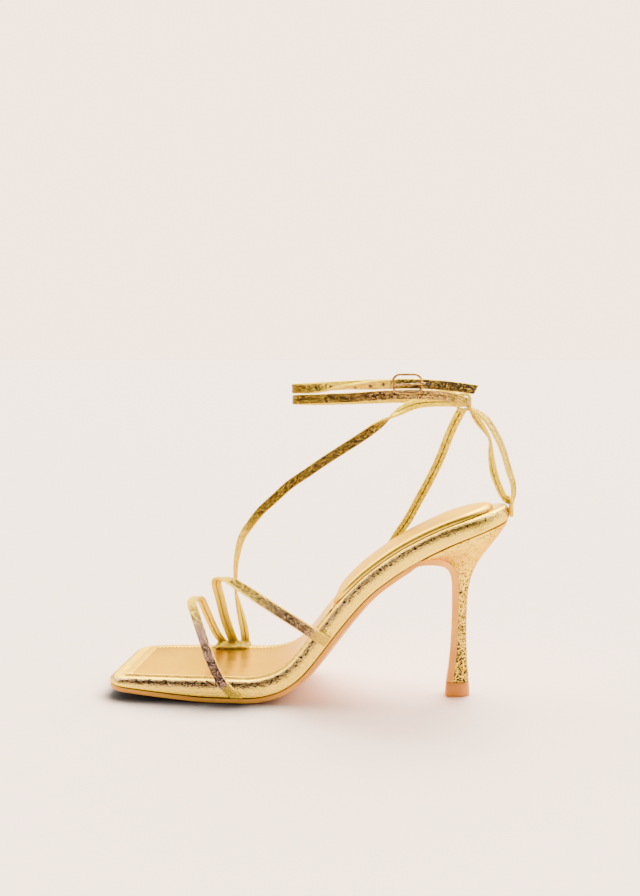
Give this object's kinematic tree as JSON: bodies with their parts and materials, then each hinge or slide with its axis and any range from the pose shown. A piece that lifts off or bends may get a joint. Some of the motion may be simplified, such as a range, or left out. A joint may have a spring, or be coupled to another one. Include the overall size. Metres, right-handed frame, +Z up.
{
  "type": "heeled sandal",
  "caption": "Square-toed strappy sandal with a padded footbed, slim high heel and a long ankle strap that wraps twice and buckles.",
  "frame": {"origin": "centre of the heel tip's bottom face, on the floor", "axes": "+Z up, -X toward the toe, +Y toward the lateral side of a right shoe"},
  "size_m": [0.2196, 0.0879, 0.1758],
  "materials": {
    "wrapped_foil": "thin metallic gold foil leather with a fine crackle",
    "padded_foil": "soft metallic gold leather over thin padding",
    "satin_sock": "smooth glossy gold insole sock",
    "strap_foil": "folded metallic gold leather with a fine crackle",
    "tan_sole": "smooth tan leather with a painted edge",
    "gold_metal": "polished gold plated wire"
  },
  "bodies": {
    "root": {"outsole": "tan_sole", "midsole": "wrapped_foil", "insole_sock": "satin_sock", "heel_pad": "padded_foil", "heel": "wrapped_foil", "top_piece": "tan_sole", "front_straps": "strap_foil", "back_straps": "strap_foil", "buckle_strap": "strap_foil", "buckle_frame": "gold_metal", "buckle_prong": "gold_metal"}
  },
  "joints": []
}
